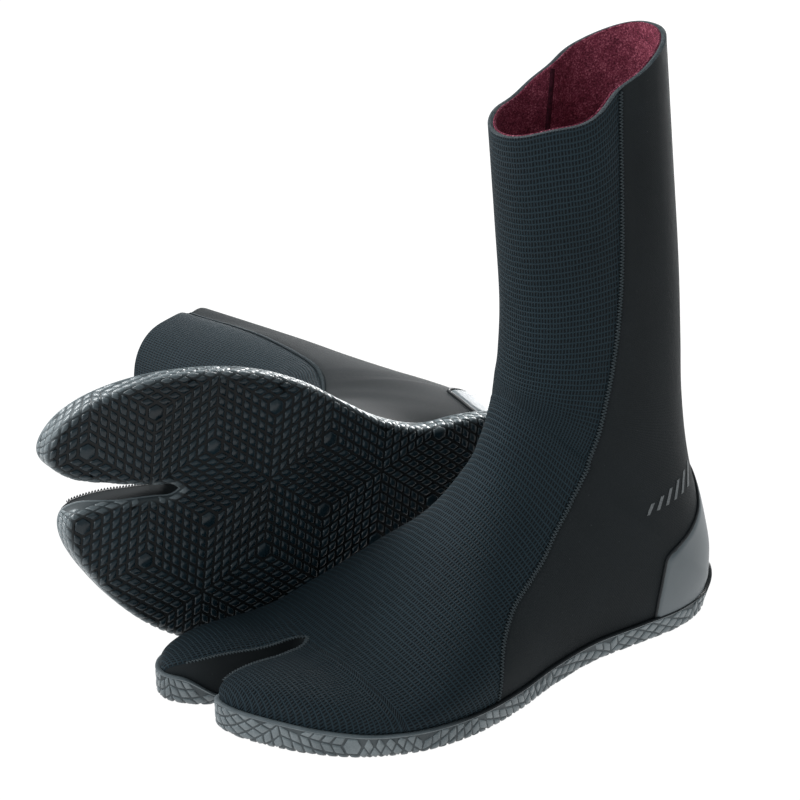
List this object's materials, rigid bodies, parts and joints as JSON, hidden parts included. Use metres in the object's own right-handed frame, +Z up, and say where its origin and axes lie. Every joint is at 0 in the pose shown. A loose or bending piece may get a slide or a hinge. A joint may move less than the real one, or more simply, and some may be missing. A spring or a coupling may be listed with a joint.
{
  "type": "neoprene boots",
  "caption": "Pair of ankle-high split-toe neoprene surf boots with textured rubber soles: one stands, the other lies on its side behind it with its sole to the front.",
  "frame": {"origin": "on the floor, under the centre of the pair's bounding box", "axes": "+Z up; the toes of both boots point towards -X; the right boot lies on the +Y side of the left one"},
  "size_m": [0.2984, 0.4202, 0.286],
  "materials": {
    "knit": "dark navy grid knit on neoprene, matt",
    "jersey": "fine black stretch jersey on neoprene, matt",
    "rubber": "smooth grey rubber, satin",
    "sole": "moulded black rubber with raised lugs, satin",
    "pile": "dark red brushed pile, fuzzy",
    "thread": "grey blind stitches over a glued seam, matt",
    "footbed": "black foam insole cloth, matt"
  },
  "bodies": {
    "left_foot": {"left_outsole": "sole", "left_footbed": "footbed", "left_toe_gusset": "jersey", "left_heel_patch": "rubber", "left_front_panel_foot": "knit", "left_back_panel_foot": "jersey", "left_lining_foot": "pile", "left_outer_seam_foot": "thread", "left_inner_seam_foot": "thread"},
    "left_leg": {"left_front_panel_leg": "knit", "left_back_panel_leg": "jersey", "left_lining_leg": "pile", "left_outer_seam_leg": "thread", "left_inner_seam_leg": "thread"},
    "right_foot": {"right_outsole": "sole", "right_footbed": "footbed", "right_toe_gusset": "jersey", "right_heel_patch": "rubber", "right_front_panel_foot": "knit", "right_back_panel_foot": "jersey", "right_lining_foot": "pile", "right_outer_seam_foot": "thread", "right_inner_seam_foot": "thread"},
    "right_leg": {"right_front_panel_leg": "knit", "right_back_panel_leg": "jersey", "right_lining_leg": "pile", "right_outer_seam_leg": "thread", "right_inner_seam_leg": "thread"}
  },
  "joints": [
    {"name": "left_ankle_flex", "type": "hinge", "parent": "left_foot", "child": "left_leg", "pos_m": [0.09506, -0.14278, 0.078], "axis": [0, -1, 0], "range_deg": [-15, 20], "stiffness_Nm_per_rad": 2},
    {"name": "right_boot_lift", "type": "slide", "parent": "left_foot", "child": "right_foot", "axis": [0, 0, 1], "range_m": [0, 0.35]},
    {"name": "right_ankle_flex", "type": "hinge", "parent": "right_foot", "child": "right_leg", "pos_m": [0.06767, 0.00183, 0.04321], "axis": [0.1583, 0.059, 0.9856], "range_deg": [-19, 16], "stiffness_Nm_per_rad": 2}
  ]
}
